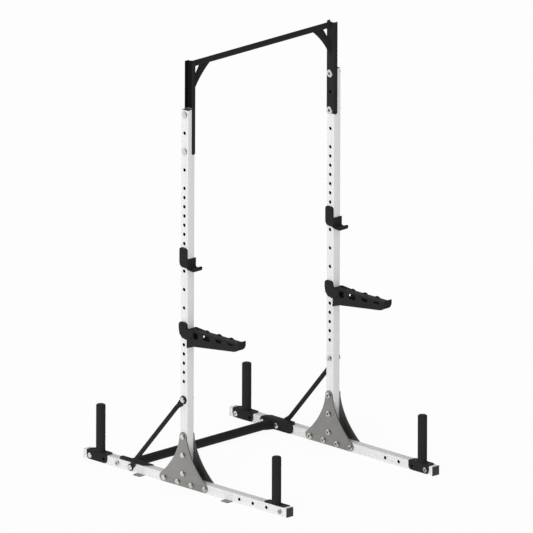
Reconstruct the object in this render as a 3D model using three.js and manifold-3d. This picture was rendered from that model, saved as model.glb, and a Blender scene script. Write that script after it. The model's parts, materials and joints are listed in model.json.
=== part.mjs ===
// Squat rack: two uprights on floor runners, tied by a rear crossmember and a pull-up bar,
// with J-hooks, spotter arms and four plate pegs.
// Millimetres. X runs across the rack, the lifter stands at -Y, +Z is up.
// The origin is on the floor, midway between the runners and midway along them.

import * as THREE from 'three';
import { mergeVertices } from 'three/addons/utils/BufferGeometryUtils.js';
import Module from 'manifold-3d';

// Square tube of the runners and uprights, and the bores through it
const tube = 50.8;
const tubeWall = 3;
const tubeCorner = 4;
const bore = 17.5;
const holePitch = 50.8;

// Base
const stance = 1083.6;
const pegStep = 13;
const runnerEndMargin = 100.1;
const runnerHoleSteps = [1, 3, 8, 10, 12, 14];
const anchorReach = 38;
const anchorWidth = 50.8;
const anchorThickness = 5;
const anchorOffset = 330.2;
const anchorBore = 18;

// Uprights, whose bores are counted from the first one above the foot
const uprightSetback = 12.7;
const firstBore = 25.4;
const topStep = 39;
const uprightHoleSteps = [
  0, 2, 4, 8, 10, 11, 12, 13, 14, 15, 16, 18, 20, 22, 23, 24,
  25, 26, 27, 28, 29, 30, 31, 33,
];
const hookStep = 24;
const armStep = 16;
const braceStep = 8;

// Gusset plates at the foot of each upright
const gussetThickness = 6;
const gussetRearReach = 174.5;
const gussetFrontReach = 183.5;
const gussetTopRadius = 25.4;
const gussetCornerRadius = 25;
const gussetFloorGap = 4;
const gussetUprightSteps = [0, 2, 4];
const gussetRunnerSteps = [-3, -1, 1, 3];
const gussetWaistShares = [[0.215, 0.64], [0.48, 0.387]];
const gussetShoulderShare = 0.893;

// Runner end caps
const capFlange = 1.5;
const capPlug = 18;
const capEdge = 1;

// Rear crossmember and its brackets
const crossTube = 48;
const crossWall = 3;
const crossStep = 9;
const crossBoltSteps = [8, 10];
const crossBracketLength = 246;
const crossBracketThickness = 5;
const crossBracketCover = 47;
const crossBracketFloorGap = 1.5;
const crossBracketCorner = 20;
const crossBracketFoot = 30;
const crossBracketBend = 3;
const crossBracketEndTrim = 16;
const crossRibReach = 50;
const crossRibSpread = 33;
const crossRibWidth = 7;
const crossRibStart = 10;
const crossRibHeight = 17;

// Diagonal braces
const braceTube = 22;
const braceFlatWidth = 40;
const braceFlatThickness = 6;
const braceFlatLength = 22;
const braceTaperLength = 38;
const braceStandoff = 1;

// Plate pegs
const pegDiameter = 48;
const pegWall = 3;
const pegHeight = 258;
const pegTopRadius = 7;
const pegBoltStep = 14;
const pegHoleSteps = [12, 14];
const pegBracketLength = 152.4;
const pegBracketThickness = 4;
const pegBracketBend = 3;
const pegBracketCorner = 24;
const pegPlateCorner = 22;
const pegDrain = 12;

// Masts and pull-up bar
const mastRise = 260.2;
const mastHeel = 20.2;
const mastHoleSteps = [topStep, topStep - 2, topStep - 4];
const mastWall = 3;
const mastFlange = 26;
const mastBend = 2;
const mastEndRadius = 11;
const barDiameter = 32;
const barWall = 3;
const webLength = 128;
const webDrop = 157;
const webReliefLength = 54;
const webReliefDrop = 83;
const webThickness = 6;
const webSagitta = 11.5;

// J-hooks
const hookThickness = 6;
const hookLiner = 3.5;
const hookStrapHalf = 27;
const hookStrapTop = 28;
const hookStrapBottom = 79;
const hookTopRadius = 15;
const hookHeelRadius = 27;
const hookFaceTop = 31;
const hookWidth = 66.5;
const hookShelfDrop = 82;
const hookShelfSlope = 5;
const hookShelfReach = 49;
const hookLipReach = 52;
const hookLipDrop = 70;
const hookLipCorner = 12;
const hookBend = 5;
const hookLipBend = 7;

// Spotter arms
const armThickness = 5;
const armReach = 388;
const armStrapHalf = 28;
const armStrapTop = 25;
const armStrapTopRadius = 18;
const armStrapThickness = 7;
const armStrapReach = 52;
const armTopDrop = 10;
const armHeelDrop = 66;
const armBackDrop = 113;
const armKneeReach = 55;
const armKneeDrop = 95;
const armToeReach = 347;
const armToeDrop = 58.5;
const armToeTurnReach = 368;
const armToeTurnDrop = 57;
const armNoseDrop = 42;
const armLip = 9;
const armLipCorner = 34;
const armFarToeDrop = 16;
const armBend = 1.5;
const armThroatRadius = 12;
const armWindowWidths = [37, 53, 48, 47];
const armWindowDepths = [36, 28, 19, 12];
const armWindowReaches = [66, 147, 238, 328];
const armWindowRadius = 13;
const armTabLength = 34;
const armTabRise = 5;
const armTabReaches = [100, 192, 283];
const armHumpPeak = 20;
const armHumpEnd = 95;
const armHumpRise = 6;

// Hitch pins of hooks and arms
const pinDiameter = 15.9;
const pinBoreGap = 0.3;
const pinHead = 22;
const pinHeadThickness = 2.5;
const pinTail = 6;
const pinChamfer = 2;

// Bolts with washers and nuts
const boltDiameter = 15.9;
const domedHead = { diameter: 34, flat: 14, height: 9, rim: 3 };
const smallHead = { diameter: 29, flat: 14, height: 6, rim: 2 };
const flatHead = { diameter: 34, flat: 30, height: 8, rim: 6.5 };
const washerDiameter = 34;
const washerThickness = 3;
const nutFlats = 24;
const nutHeight = 13.5;
const boltTail = 4;

// Running clearance, and how far a cutting tool passes beyond the faces it cuts
const clearance = 0.3;
const overrun = 1;

// Outline points closer together than this count as one
const leastEdge = 0.01;

// Facets of round shapes
const boreFacets = 8;
const washerFacets = 12;
const tubeFacets = 20;
const barFacets = 20;
const arcFacets = 3;
const webFacets = 8;
const bendFacets = 3;
const domeFacets = 3;

// Places that several pieces share
const leftX = -stance / 2;
const rightX = stance / 2;
const uprightFoot = tube;
const crossAxis = crossStep * holePitch;
const crossTubeHalf = stance / 2 - tube / 2 - crossBracketThickness;
const uprightFront = uprightSetback - tube / 2;
const runnerMid = tube / 2;
const runnerLength = 2 * (pegStep * holePitch + runnerEndMargin);
const boreHeight = (step) => uprightFoot + firstBore + step * holePitch;
const uprightTop = boreHeight(topStep) + firstBore;
const mastTop = uprightTop + mastRise;
const mastBottom = boreHeight(Math.min(...mastHoleSteps)) - mastHeel;
const barHeight = mastTop - barDiameter / 2;
const allUprightSteps = [...uprightHoleSteps, ...mastHoleSteps];

const wasm = await Module();
wasm.setup();

const axisX = new THREE.Vector3(1, 0, 0);
const axisY = new THREE.Vector3(0, 1, 0);
const axisZ = new THREE.Vector3(0, 0, 1);
const acrossX = new THREE.Matrix4().makeBasis(axisY, axisZ, axisX);
const backAlongY = new THREE.Matrix4().makeBasis(axisX, axisZ, axisY.clone().negate());

// Solids and their joins and cuts
function solidOf(geometry) {
  const bare = geometry.clone();
  bare.deleteAttribute('normal');
  bare.deleteAttribute('uv');
  const merged = mergeVertices(bare);
  return new wasm.Manifold(new wasm.Mesh({
    numProp: 3,
    vertProperties: new Float32Array(merged.attributes.position.array),
    triVerts: new Uint32Array(merged.index.array),
  }));
}

function geometryOf(solid) {
  const { vertProperties, triVerts } = solid.getMesh();
  const geometry = new THREE.BufferGeometry();
  geometry.setAttribute('position', new THREE.BufferAttribute(vertProperties, 3));
  geometry.setIndex(new THREE.BufferAttribute(triVerts, 1));
  const faceted = geometry.toNonIndexed();
  faceted.computeVertexNormals();
  return faceted;
}

const joined = (first, ...rest) => rest.reduce((sum, next) => sum.add(next), first);
const cut = (body, ...tools) => tools.reduce((left, tool) => left.subtract(tool), body);

// Extrusions: a Y-Z outline along X, an X-Z outline along Y, an X-Y outline along Z
const spaced = (points) => points.filter((point, index) => (
  point.distanceTo(points[(index + 1) % points.length]) > leastEdge
));

function extruded(outline, depth) {
  const { shape, holes } = outline.extractPoints(arcFacets);
  const clean = new THREE.Shape(spaced(shape));
  clean.holes = holes.map((hole) => new THREE.Path(spaced(hole)));
  return new THREE.ExtrudeGeometry(clean, { depth, bevelEnabled: false, steps: 1 });
}

function alongX(shape, from, to) {
  return solidOf(extruded(shape, to - from).applyMatrix4(acrossX).translate(from, 0, 0));
}

function alongY(shape, from, to) {
  return solidOf(extruded(shape, to - from).applyMatrix4(backAlongY).translate(0, to, 0));
}

function alongZ(shape, from, to) {
  return solidOf(extruded(shape, to - from).translate(0, 0, from));
}

function box(from, to) {
  const size = to.map((high, axis) => high - from[axis]);
  const middle = to.map((high, axis) => (high + from[axis]) / 2);
  return solidOf(new THREE.BoxGeometry(...size).translate(...middle));
}

// A cylinder with its axis on X
function rodX(diameter, from, to, y, z, facets) {
  const rod = new THREE.CylinderGeometry(diameter / 2, diameter / 2, to - from, facets);
  return solidOf(rod.rotateZ(-Math.PI / 2).translate((from + to) / 2, y, z));
}

function rodZ(diameter, from, to, x, y, facets) {
  const rod = new THREE.CylinderGeometry(diameter / 2, diameter / 2, to - from, facets);
  return solidOf(rod.rotateX(Math.PI / 2).translate(x, y, (from + to) / 2));
}

// Outlines
function roundedRectangle(left, bottom, right, top, radii) {
  const [lowLeft, lowRight, highRight, highLeft] = radii;
  const shape = new THREE.Shape();
  shape.moveTo(left + lowLeft, bottom);
  shape.lineTo(right - lowRight, bottom);
  shape.quadraticCurveTo(right, bottom, right, bottom + lowRight);
  shape.lineTo(right, top - highRight);
  shape.quadraticCurveTo(right, top, right - highRight, top);
  shape.lineTo(left + highLeft, top);
  shape.quadraticCurveTo(left, top, left, top - highLeft);
  shape.lineTo(left, bottom + lowLeft);
  shape.quadraticCurveTo(left, bottom, left + lowLeft, bottom);
  return shape;
}

function squareOutline(middleX, middleY, width, radius) {
  const half = width / 2;
  return roundedRectangle(
    middleX - half, middleY - half, middleX + half, middleY + half,
    [radius, radius, radius, radius],
  );
}

function ringOutline(outer, wall, x, y, facets) {
  const ring = (radius, clockwise) => Array.from({ length: facets }, (_, index) => {
    const turn = (clockwise ? -1 : 1) * index * 2 * Math.PI / facets;
    return new THREE.Vector2(x + radius * Math.cos(turn), y + radius * Math.sin(turn));
  });
  const shape = new THREE.Shape(ring(outer / 2, false));
  shape.holes.push(new THREE.Path(ring(outer / 2 - wall, true)));
  return shape;
}

// The section of a bent sheet, from the corner points of its middle line
function sheetOutline(corners, thickness, insideRadii) {
  const points = corners.map(([u, v]) => new THREE.Vector2(u, v));
  const half = thickness / 2;
  const leftSide = [];
  const rightSide = [];
  const normalOf = (direction) => new THREE.Vector2(-direction.y, direction.x);
  const heading = (index) => points[index + 1].clone().sub(points[index]).normalize();
  const addPair = (middle, normal) => {
    leftSide.push(middle.clone().addScaledVector(normal, half));
    rightSide.push(middle.clone().addScaledVector(normal, -half));
  };
  addPair(points[0], normalOf(heading(0)));
  for (let index = 1; index < points.length - 1; index += 1) {
    const before = heading(index - 1);
    const after = heading(index);
    const turn = Math.atan2(before.cross(after), before.dot(after));
    const side = Math.sign(turn);
    const radius = insideRadii[index - 1] + half;
    const start = points[index].clone().addScaledVector(before, -radius * Math.tan(Math.abs(turn) / 2));
    const centre = start.clone().addScaledVector(normalOf(before), side * radius);
    for (let step = 0; step <= bendFacets; step += 1) {
      const normal = normalOf(before).rotateAround(new THREE.Vector2(), turn * step / bendFacets);
      addPair(centre.clone().addScaledVector(normal, -side * radius), normal);
    }
  }
  addPair(points[points.length - 1], normalOf(heading(points.length - 2)));
  return new THREE.Shape([...leftSide, ...rightSide.reverse()]);
}

// A closed skin over rings of equally many points
function lofted(rings) {
  const around = rings[0].length;
  const positions = rings.flat().flatMap((point) => [point.x, point.y, point.z]);
  const index = [];
  for (let ring = 0; ring < rings.length - 1; ring += 1) {
    for (let side = 0; side < around; side += 1) {
      const a = ring * around + side;
      const b = ring * around + (side + 1) % around;
      index.push(a, b, b + around, a, b + around, a + around);
    }
  }
  const last = (rings.length - 1) * around;
  for (let side = 1; side < around - 1; side += 1) {
    index.push(0, side + 1, side);
    index.push(last, last + side, last + side + 1);
  }
  const geometry = new THREE.BufferGeometry();
  geometry.setAttribute('position', new THREE.Float32BufferAttribute(positions, 3));
  geometry.setIndex(index);
  return solidOf(geometry);
}

// Materials
const finish = (color, roughness, metalness) => (
  () => new THREE.MeshStandardMaterial({ color, roughness, metalness, flatShading: true })
);
const whitePaint = finish(0xe6e6e8, 0.4, 0.0);
const blackPaint = finish(0x2b2b2c, 0.5, 0.0);
const rawSteel = finish(0x90908c, 0.45, 0.8);
const zincPlate = finish(0xcfcbc2, 0.3, 0.9);
const blackPlastic = finish(0x333436, 0.6, 0.0);

const rack = new THREE.Group();

function add(name, solid, material) {
  const mesh = new THREE.Mesh(geometryOf(solid), material());
  mesh.name = name;
  rack.add(mesh);
}

// Base runners, with the anchor tabs welded along their outer side
function runner(centreX, outward) {
  const half = runnerLength / 2;
  const wall = centreX + outward * tube / 2;
  const skin = alongY(squareOutline(centreX, runnerMid, tube, tubeCorner), -half, half);
  const inside = squareOutline(centreX, runnerMid, tube - 2 * tubeWall, 0);
  const body = cut(skin, alongY(inside, -half - overrun, half + overrun));
  const tabs = [-anchorOffset, anchorOffset].map((y) => {
    const edges = [wall, wall + outward * anchorReach];
    const plate = box(
      [Math.min(...edges), y - anchorWidth / 2, 0],
      [Math.max(...edges), y + anchorWidth / 2, anchorThickness],
    );
    const hole = rodZ(
      anchorBore, -overrun, anchorThickness + overrun,
      wall + outward * anchorReach / 2, y, boreFacets,
    );
    return cut(plate, hole);
  });
  const bores = runnerHoleSteps.flatMap((step) => [-step, step]).map((step) => rodX(
    bore, centreX - tube / 2 - overrun, centreX + tube / 2 + overrun,
    step * holePitch, runnerMid, boreFacets,
  ));
  return joined(cut(body, ...bores), ...tabs);
}

function runnerCap(centreX, front) {
  const end = runnerLength / 2;
  const flange = squareOutline(centreX, runnerMid, tube, capEdge);
  const plug = squareOutline(centreX, runnerMid, tube - 2 * tubeWall - 2 * clearance, 0);
  return front
    ? joined(alongY(flange, -end - capFlange, -end), alongY(plug, -end - capEdge, -end + capPlug))
    : joined(alongY(flange, end, end + capFlange), alongY(plug, end - capPlug, end + capEdge));
}

function upright(centreX) {
  const skin = alongZ(
    squareOutline(centreX, uprightSetback, tube, tubeCorner), uprightFoot, uprightTop,
  );
  const inside = squareOutline(centreX, uprightSetback, tube - 2 * tubeWall, 0);
  const body = cut(skin, alongZ(inside, uprightFoot - overrun, uprightTop + overrun));
  const bores = allUprightSteps.map((step) => rodX(
    bore, centreX - tube / 2 - overrun, centreX + tube / 2 + overrun,
    uprightSetback, boreHeight(step), boreFacets,
  ));
  return cut(body, ...bores);
}

// Gusset plates: a round nose over the top bolt, hollow flanks and round base corners
const gussetBoltPlaces = [
  ...gussetUprightSteps.map((step) => [uprightSetback, boreHeight(step)]),
  ...gussetRunnerSteps.map((step) => [step * holePitch, runnerMid]),
];

function gusset(innerX, outerX) {
  const mid = uprightSetback;
  const nose = boreHeight(Math.max(...gussetUprightSteps));
  const height = nose + gussetTopRadius;
  const shoulder = gussetShoulderShare * height;
  const cornerZ = gussetFloorGap + gussetCornerRadius;
  const cornerTurn = Math.PI / 4;
  const cornerRise = cornerZ + gussetCornerRadius * Math.sin(cornerTurn);
  const rearCorner = mid + gussetRearReach - gussetCornerRadius;
  const frontCorner = mid - gussetFrontReach + gussetCornerRadius;
  const rear = (share) => [mid + share[0] * gussetRearReach, share[1] * height];
  const front = (share) => [mid - share[0] * gussetFrontReach, share[1] * height];
  const [upper, lower] = gussetWaistShares;
  const shape = new THREE.Shape();
  shape.moveTo(frontCorner, gussetFloorGap);
  shape.absarc(rearCorner, cornerZ, gussetCornerRadius, -Math.PI / 2, cornerTurn, false);
  shape.bezierCurveTo(...rear(lower), ...rear(upper), mid + gussetTopRadius, shoulder);
  shape.absarc(mid, nose, gussetTopRadius, 0, Math.PI, false);
  shape.lineTo(mid - gussetTopRadius, shoulder);
  shape.bezierCurveTo(
    ...front(upper), ...front(lower),
    frontCorner - gussetCornerRadius * Math.cos(cornerTurn), cornerRise,
  );
  shape.absarc(
    frontCorner, cornerZ, gussetCornerRadius, Math.PI - cornerTurn, 3 * Math.PI / 2, false,
  );
  const bores = gussetBoltPlaces.map(([y, z]) => rodX(
    bore, innerX - overrun, outerX + overrun, y, z, boreFacets,
  ));
  return cut(alongX(shape, innerX, outerX), ...bores);
}

// A bolt along X through a stack of plates: its head on one side, washer and nut on the other
function bolt(low, high, y, z, headSide, head = domedHead) {
  const half = (high - low) / 2;
  const middle = (high + low) / 2;
  const shank = boltDiameter / 2;
  const seat = half + washerThickness;
  const end = seat + nutHeight + boltTail;
  const dome = Array.from({ length: domeFacets + 1 }, (_, step) => {
    const turn = step * Math.PI / (2 * domeFacets);
    return [
      (head.flat + (head.diameter - head.flat) * Math.sin(turn)) / 2,
      -half - head.rim - (head.height - head.rim) * Math.cos(turn),
    ];
  });
  const profile = [
    [0, -half - head.height],
    ...dome,
    [head.diameter / 2, -half],
    [shank, -half],
    [shank, half],
    [washerDiameter / 2, half],
    [washerDiameter / 2, seat],
    [shank, seat],
    [shank, end],
    [0, end],
  ].map(([r, x]) => new THREE.Vector2(r, x));
  const turned = new THREE.LatheGeometry(profile, washerFacets).rotateZ(-Math.PI / 2);
  if (headSide > 0) turned.rotateY(Math.PI);
  const nutEnds = [seat - washerThickness / 2, seat + nutHeight].map((x) => middle - headSide * x);
  const nutDiameter = nutFlats / Math.cos(Math.PI / 6);
  return joined(
    solidOf(turned.translate(middle, y, z)),
    rodX(nutDiameter, Math.min(...nutEnds), Math.max(...nutEnds), y, z, 6),
  );
}

// Rear crossmember tube
function crossTubeSolid() {
  const outline = ringOutline(crossTube, crossWall, crossAxis, runnerMid, tubeFacets);
  return alongX(outline, -crossTubeHalf, crossTubeHalf);
}

// The room that the crossmember tube takes, its hollow included
function crossTubeSpace() {
  return rodX(crossTube, -crossTubeHalf, crossTubeHalf, crossAxis, runnerMid, tubeFacets);
}

// A strap rib that spreads the crossmember's load from its underside to the bracket
function crossRib(face, inward, end) {
  const outline = new THREE.Shape([
    [0, crossRibSpread],
    [crossRibReach, crossRibStart],
    [crossRibReach - 2 * crossRibWidth, crossRibStart],
    [0, crossRibSpread - crossRibWidth],
  ].map(([reach, spread]) => (
    new THREE.Vector2(face + inward * reach, crossAxis + end * spread)
  )));
  return alongZ(outline, crossBracketFloorGap, crossBracketFloorGap + crossRibHeight);
}

// Saddle bracket over a runner, with a rib on each side of the crossmember tube
function crossBracket(centreX, inward) {
  const wall = centreX + inward * tube / 2;
  const half = crossBracketThickness / 2;
  const centreY = Math.min(...crossBoltSteps) * holePitch;
  const start = centreY - crossBracketLength / 2;
  const end = centreY + crossBracketLength / 2;
  const low = crossBracketFloorGap;
  const high = tube + crossBracketThickness;
  const section = sheetOutline([
    [wall + inward * half, low],
    [wall + inward * half, tube + half],
    [wall - inward * crossBracketCover, tube + half],
  ], crossBracketThickness, [crossBracketBend]);
  const sideTrim = roundedRectangle(start, low, end, high + overrun, [
    crossBracketFoot, crossBracketFoot, crossBracketCorner, crossBracketCorner,
  ]);
  const edges = [wall + inward * crossBracketThickness, wall - inward * crossBracketCover];
  const topTrim = new THREE.Shape([
    [edges[0], start],
    [edges[0], end],
    [wall, end],
    [edges[1] + inward * crossBracketCorner, end - crossBracketEndTrim],
    [edges[1], end - crossBracketEndTrim - crossBracketCorner],
    [edges[1], start + crossBracketEndTrim + crossBracketCorner],
    [edges[1] + inward * crossBracketCorner, start + crossBracketEndTrim],
    [wall, start],
  ].map(([x, y]) => new THREE.Vector2(x, y)));
  const bores = crossBoltSteps.map((step) => rodX(
    bore, wall - crossBracketThickness - overrun, wall + crossBracketThickness + overrun,
    step * holePitch, runnerMid, boreFacets,
  ));
  const plate = alongY(section, start, end)
    .intersect(alongX(sideTrim, wall - tube - overrun, wall + tube + overrun))
    .intersect(alongZ(topTrim, -overrun, high + overrun));
  const ribs = [-1, 1].map((end) => crossRib(wall + inward * half, inward, end));
  return cut(joined(plate, ...ribs), ...bores, crossTubeSpace());
}

// Diagonal brace: a round tube whose ends are pressed flat and rounded round their bolts
const braceLow = new THREE.Vector2(crossBoltSteps[0] * holePitch, runnerMid);
const braceHigh = new THREE.Vector2(uprightSetback, boreHeight(braceStep));

function brace(centreX, outward) {
  const wall = centreX + outward * tube / 2;
  const run = braceHigh.clone().sub(braceLow);
  const length = run.length();
  const along = run.clone().normalize();
  const across = new THREE.Vector2(-along.y, along.x);
  const place = (offset, spread) => (
    braceLow.clone().addScaledVector(along, offset).addScaledVector(across, spread)
  );
  const ring = (offset, width, thickness, standoff) => {
    const middle = wall + outward * (standoff + thickness / 2);
    return Array.from({ length: washerFacets }, (_, index) => {
      const turn = index * 2 * Math.PI / washerFacets;
      const point = place(offset, Math.cos(turn) * width / 2);
      return new THREE.Vector3(middle + Math.sin(turn) * thickness / 2, point.x, point.y);
    });
  };
  const taperEnd = braceFlatLength + braceTaperLength;
  const rings = [
    ring(braceFlatLength, braceFlatWidth, braceFlatThickness, 0),
    ring(taperEnd, braceTube, braceTube, braceStandoff),
    ring(length - taperEnd, braceTube, braceTube, braceStandoff),
    ring(length - braceFlatLength, braceFlatWidth, braceFlatThickness, 0),
  ];
  const tilt = Math.atan2(along.y, along.x);
  const tab = (centre, turn) => {
    const half = braceFlatWidth / 2;
    const shape = new THREE.Shape();
    const start = turn - Math.PI / 2;
    shape.absarc(centre.x, centre.y, half, start, start + Math.PI, false);
    const back = new THREE.Vector2(-Math.cos(turn), -Math.sin(turn));
    const side = new THREE.Vector2(-back.y, back.x);
    const heel = centre.clone().addScaledVector(back, braceFlatLength + braceFlatThickness);
    const near = heel.clone().addScaledVector(side, -braceTube / 2);
    const far = heel.clone().addScaledVector(side, braceTube / 2);
    shape.lineTo(near.x, near.y);
    shape.lineTo(far.x, far.y);
    const faces = [wall, wall + outward * braceFlatThickness];
    return alongX(shape, Math.min(...faces), Math.max(...faces));
  };
  const bores = [braceLow, braceHigh].map((centre) => rodX(
    bore, wall - braceTube - overrun, wall + braceTube + overrun,
    centre.x, centre.y, boreFacets,
  ));
  return cut(
    joined(lofted(rings), tab(braceLow, tilt + Math.PI), tab(braceHigh, tilt)),
    ...bores,
  );
}

// Plate peg: a capped post welded on an angle bracket that sits over the runner
function peg(centreX, flangeSide, end) {
  const wall = centreX + flangeSide * tube / 2;
  const half = pegBracketThickness / 2;
  const y = end * pegStep * holePitch;
  const start = y - pegBracketLength / 2;
  const stop = y + pegBracketLength / 2;
  const low = gussetFloorGap;
  const high = tube + pegBracketThickness;
  const section = sheetOutline([
    [wall + flangeSide * half, low],
    [wall + flangeSide * half, tube + half],
    [wall - flangeSide * tube, tube + half],
  ], pegBracketThickness, [pegBracketBend]);
  const sideTrim = roundedRectangle(start, low, stop, high + overrun, [
    pegBracketCorner, pegBracketCorner, 0, 0,
  ]);
  const edges = [wall + flangeSide * pegBracketThickness, wall - flangeSide * tube];
  const flangeRadii = flangeSide > 0 ? [1, 0, 0, 1] : [0, 1, 1, 0];
  const topTrim = roundedRectangle(
    Math.min(...edges), start, Math.max(...edges), stop,
    flangeRadii.map((share) => share * pegPlateCorner),
  );
  const sideBores = pegHoleSteps.map((step) => rodX(
    bore, wall - pegBracketThickness - overrun, wall + pegBracketThickness + overrun,
    end * step * holePitch, runnerMid, boreFacets,
  ));
  const topBores = pegHoleSteps.map((step) => rodZ(
    bore, tube - overrun, high + overrun, centreX, end * step * holePitch, boreFacets,
  ));
  const drain = rodZ(pegDrain, tube - overrun, high + overrun, centreX, y, boreFacets);
  const bracket = cut(
    alongY(section, start, stop)
      .intersect(alongX(sideTrim, wall - tube - overrun, wall + tube + overrun))
      .intersect(alongZ(topTrim, -overrun, high + overrun)),
    ...sideBores, ...topBores, drain,
  );
  const radius = pegDiameter / 2;
  const top = high + pegHeight;
  const shoulder = pegTopRadius * (1 - Math.SQRT1_2);
  const seat = high - half;
  const profile = [
    [radius - pegWall, seat],
    [radius, seat],
    [radius, top - pegTopRadius],
    [radius - shoulder, top - shoulder],
    [radius - pegTopRadius, top],
    [0, top],
    [0, top - pegWall],
    [radius - pegWall, top - pegWall],
    [radius - pegWall, seat],
  ].map(([r, z]) => new THREE.Vector2(r, z));
  const post = solidOf(
    new THREE.LatheGeometry(profile, tubeFacets).rotateX(Math.PI / 2).translate(centreX, y, 0),
  );
  return joined(bracket, post);
}

// Mast: a channel over the inner half of the upright, with the corner web under the bar
function mast(centreX, inward) {
  const wall = centreX + inward * (tube / 2);
  const half = mastWall / 2;
  const side = tube / 2 + clearance + half;
  const free = wall + inward * mastWall - inward * mastFlange;
  const section = sheetOutline([
    [free, uprightSetback - side],
    [wall + inward * half, uprightSetback - side],
    [wall + inward * half, uprightSetback + side],
    [free, uprightSetback + side],
  ], mastWall, [mastBend, mastBend]);
  const faces = [free, wall + inward * mastWall];
  const trim = roundedRectangle(
    Math.min(...faces), mastBottom, Math.max(...faces), mastTop,
    [mastEndRadius, mastEndRadius, 0, 0],
  );
  const channel = alongZ(section, mastBottom, mastTop)
    .intersect(alongY(trim, uprightSetback - tube, uprightSetback + tube));
  const bores = mastHoleSteps.map((step) => rodX(
    bore, wall - mastWall - overrun, wall + mastWall + overrun,
    uprightSetback, boreHeight(step), boreFacets,
  ));
  return joined(cut(channel, ...bores), cornerWeb(wall + inward * mastWall, inward));
}

// The web is drawn from the corner between mast and bar, reach inward and drop downward
function cornerWeb(face, inward) {
  const top = mastTop - barDiameter - clearance;
  const root = -mastWall / 2;
  const chord = Math.hypot(webLength, webDrop);
  const radius = (chord * chord / 4 + webSagitta * webSagitta) / (2 * webSagitta);
  const away = new THREE.Vector2(webDrop, -webLength).normalize();
  const centre = new THREE.Vector2(webLength / 2, -webDrop / 2)
    .addScaledVector(away, radius - webSagitta);
  const turnTo = (reach, drop) => Math.atan2(-drop - centre.y, reach - centre.x);
  const start = turnTo(webLength, 0);
  const sweep = turnTo(0, webDrop) - start;
  const edge = Array.from({ length: webFacets + 1 }, (_, step) => {
    const turn = start + sweep * step / webFacets;
    return [centre.x + radius * Math.cos(turn), centre.y + radius * Math.sin(turn)];
  });
  const shape = new THREE.Shape([
    ...edge,
    [root, -webDrop],
    [root, -webReliefDrop],
    [0, -webReliefDrop],
    [webReliefLength, 0],
  ].map(([reach, height]) => new THREE.Vector2(face + inward * reach, top + height)));
  return alongY(shape, uprightSetback - webThickness / 2, uprightSetback + webThickness / 2);
}

function pullUpBar() {
  const half = stance / 2 - tube / 2 - mastWall;
  return alongX(ringOutline(barDiameter, barWall, uprightSetback, barHeight, barFacets), -half, half);
}

// J-hook: one strap beside the upright, bent round its front and out into a lipped shelf
function jHook(centreX) {
  const z = boreHeight(hookStep);
  const outer = centreX - tube / 2 - clearance - hookLiner - hookThickness;
  const strapDepth = hookThickness + hookLiner;
  const back = uprightFront - clearance;
  const middle = back - hookThickness / 2;
  const strap = alongX(roundedRectangle(
    uprightSetback - hookStrapHalf, z - hookStrapBottom,
    uprightSetback + hookStrapHalf, z + hookStrapTop,
    [0, hookHeelRadius, hookTopRadius, hookTopRadius],
  ), outer, outer + strapDepth);
  const bend = sheetOutline([
    [outer + hookThickness / 2, uprightSetback],
    [outer + hookThickness / 2, middle],
    [outer + hookWidth, middle],
  ], hookThickness, [0]);
  const face = alongZ(bend, z - hookStrapBottom, z - hookFaceTop);
  const corner = alongX(new THREE.Shape([
    [back - hookThickness, z - hookStrapBottom - hookThickness],
    [back, z - hookStrapBottom - hookThickness],
    [back, z - hookFaceTop],
    [back - hookThickness, z - hookFaceTop],
  ].map(([y, height]) => new THREE.Vector2(y, height))), outer + hookThickness, outer + hookWidth);
  const front = uprightFront - clearance;
  const shelf = alongX(sheetOutline([
    [middle, z - hookStrapBottom + hookThickness],
    [middle, z - hookShelfDrop],
    [front - hookShelfReach, z - hookShelfDrop - hookShelfSlope],
    [front - hookLipReach, z - hookLipDrop],
  ], hookThickness, [hookBend, hookLipBend]), outer, outer + hookWidth);
  const shelfZone = box(
    [outer, front - hookLipReach - hookThickness, z - hookShelfDrop - hookStrapBottom],
    [outer + hookWidth, back, z - hookStrapBottom + hookThickness / 2],
  );
  const lipFoot = z - hookShelfDrop - hookShelfSlope - hookThickness;
  const lipReaches = [front - hookLipReach - hookThickness, front - hookShelfReach];
  const lipOutline = roundedRectangle(
    outer - overrun, lipFoot, outer + hookWidth, z - hookLipDrop + hookThickness / 2,
    [0, hookLipCorner, hookLipCorner, 0],
  );
  const lipTrim = box(
    [outer, lipReaches[0], lipFoot - overrun],
    [outer + hookWidth + overrun, lipReaches[1], z - hookLipDrop + hookThickness],
  ).subtract(alongY(lipOutline, lipReaches[0] - overrun, lipReaches[1] + overrun));
  const pinHole = rodX(
    pinDiameter + 2 * pinBoreGap, outer - overrun, outer + strapDepth + overrun,
    uprightSetback, z, washerFacets,
  );
  return cut(joined(strap, face, corner, shelf.intersect(shelfZone)), lipTrim, pinHole);
}

// Hitch pin through the strap and the upright
function hitchPin(centreX, step, strapThickness) {
  const z = boreHeight(step);
  const outer = centreX - tube / 2 - clearance - strapThickness;
  const tail = centreX + tube / 2 + pinTail;
  const radius = pinDiameter / 2;
  const profile = [
    [0, outer - pinHeadThickness - clearance],
    [pinHead / 2 - pinHeadThickness / 2, outer - pinHeadThickness - clearance],
    [pinHead / 2, outer - pinHeadThickness / 2 - clearance],
    [pinHead / 2, outer - clearance],
    [radius, outer - clearance],
    [radius, tail - pinChamfer],
    [radius - pinChamfer, tail],
    [0, tail],
  ].map(([r, x]) => new THREE.Vector2(r, x));
  const pin = new THREE.LatheGeometry(profile, washerFacets);
  return solidOf(pin.rotateZ(-Math.PI / 2).translate(0, uprightSetback, z));
}

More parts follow.
